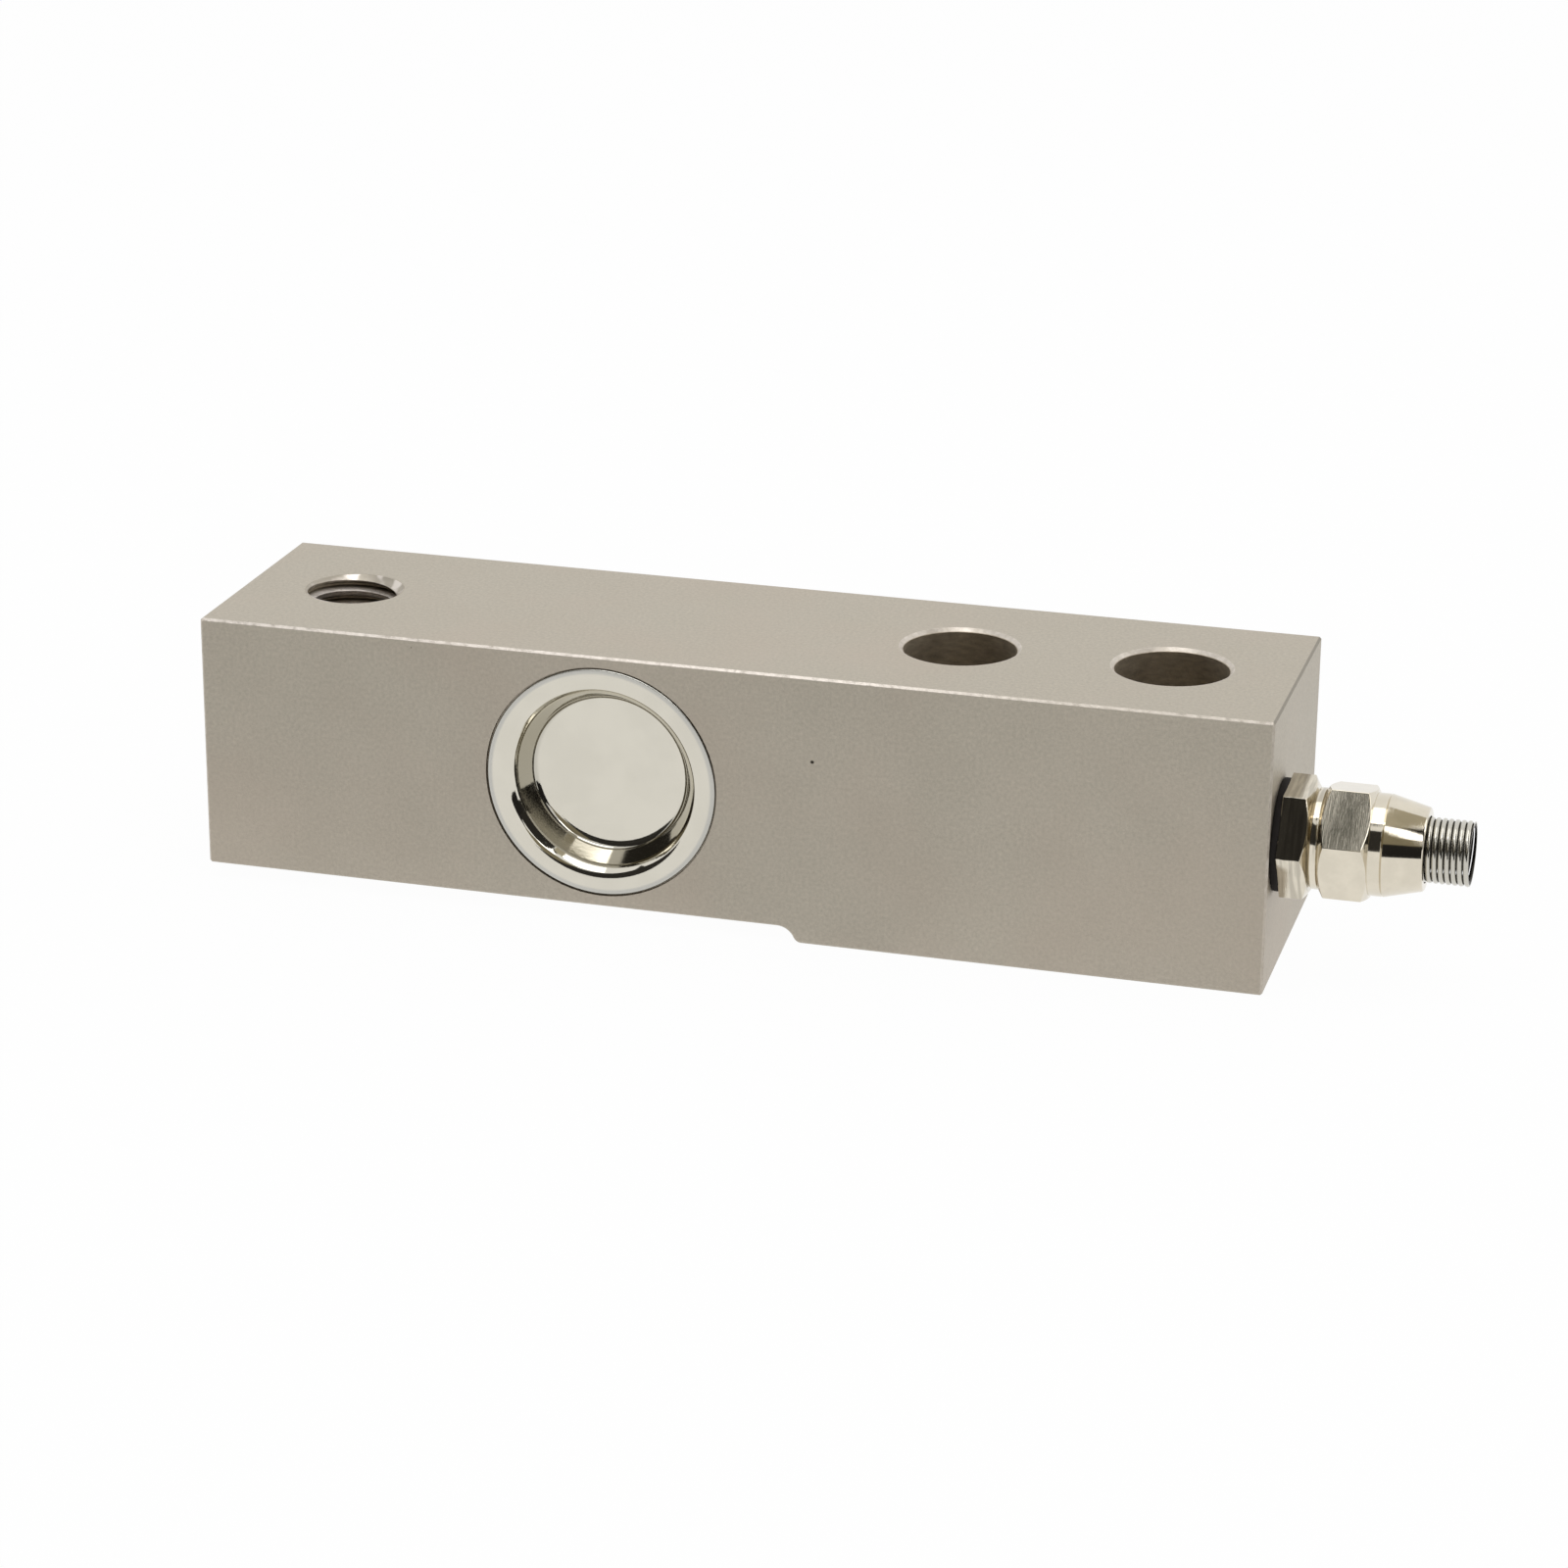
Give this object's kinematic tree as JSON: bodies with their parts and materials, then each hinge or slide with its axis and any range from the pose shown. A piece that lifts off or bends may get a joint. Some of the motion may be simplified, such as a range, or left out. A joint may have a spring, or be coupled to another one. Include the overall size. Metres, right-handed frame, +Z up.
{
  "type": "shear beam load cell",
  "caption": "Square steel beam that weighs by bending at its gauge pockets: bolted down at one end, loaded through a thread at the other, with a cable gland.",
  "frame": {"origin": "underside of the mounting pad, midway between the two mounting holes", "axes": "+X along the beam from the load end towards the cable gland, +Z up out of the top face, -Y out of the face beside the gland"},
  "size_m": [0.1522, 0.033, 0.0332],
  "materials": {
    "nickel_blasted": "bead-blasted nickel-plated alloy steel, satin and finely mottled",
    "cup_nickel": "nickel-plated pressed steel, satin flange and floor, polished lip",
    "polyimide_film": "amber film",
    "gauge_foil": "thin constantan foil",
    "sealing_compound": "translucent sealing compound",
    "board_laminate": "glass-fibre laminate",
    "tinned_pads": "tinned copper",
    "resistor_body": "foil resistor on a thin carrier",
    "black_rubber": "nitrile rubber",
    "bright_nickel": "bright nickel-plated brass",
    "spring_steel": "bright nickel-plated spring wire"
  },
  "bodies": {
    "root": {"beam_body": "nickel_blasted", "front_cup": "cup_nickel", "rear_cup": "cup_nickel", "front_gauge_film": "polyimide_film", "rear_gauge_film": "polyimide_film", "front_gauge_grids": "gauge_foil", "rear_gauge_grids": "gauge_foil", "front_gauge_coating": "sealing_compound", "rear_gauge_coating": "sealing_compound", "front_terminal_board": "board_laminate", "rear_terminal_board": "board_laminate", "front_terminal_pads": "tinned_pads", "rear_terminal_pads": "tinned_pads", "front_ribbon_leads": "tinned_pads", "rear_ribbon_leads": "tinned_pads", "cross_ribbon": "polyimide_film", "span_resistor": "resistor_body", "zero_resistor": "resistor_body", "gland_seal_ring": "black_rubber", "gland_body": "bright_nickel", "gland_grommet": "black_rubber", "gland_nut": "bright_nickel", "spring_guard": "spring_steel"}
  },
  "joints": []
}
